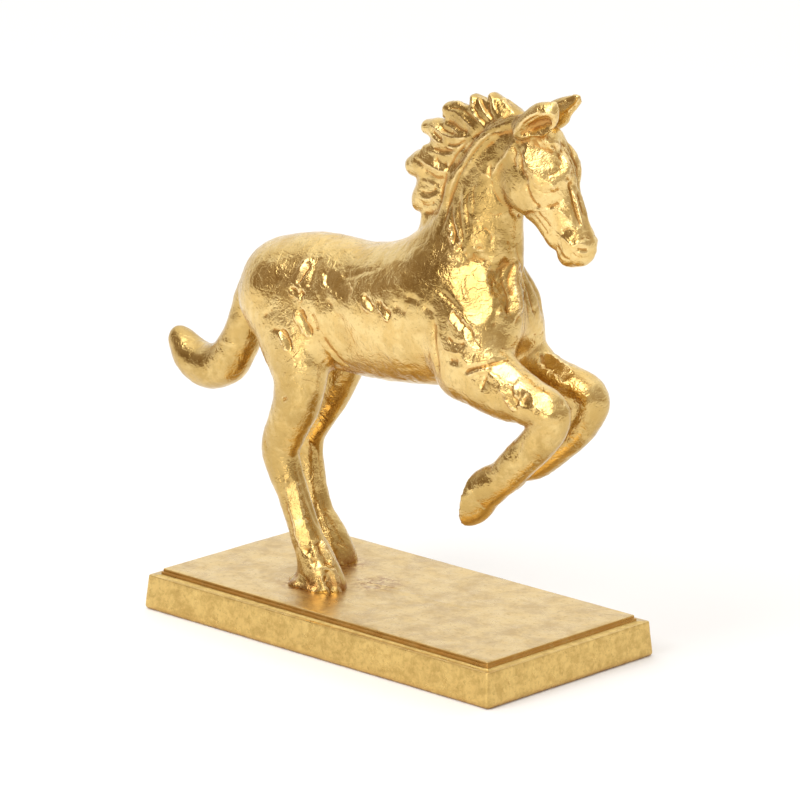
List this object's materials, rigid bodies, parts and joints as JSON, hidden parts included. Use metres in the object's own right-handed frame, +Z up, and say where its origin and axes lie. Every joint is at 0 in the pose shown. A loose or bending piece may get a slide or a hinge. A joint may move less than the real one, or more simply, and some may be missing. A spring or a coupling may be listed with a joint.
{
  "type": "rearing horse sculpture",
  "caption": "Gold-leafed sculpture of a rearing foal with a cut-out mane and curled tail, on a stepped rectangular plinth.",
  "frame": {"origin": "middle of the plinth's underside", "axes": "+X the way the horse faces, +Y the horse's left, +Z up"},
  "size_m": [0.2479, 0.1026, 0.2472],
  "materials": {
    "gilded_horse": "wrinkled gold leaf over a hand-modelled surface",
    "gilded_plinth": "rubbed gold leaf with a brown line under the panel's rim"
  },
  "bodies": {
    "root": {"horse": "gilded_horse", "plinth": "gilded_plinth"}
  },
  "joints": []
}
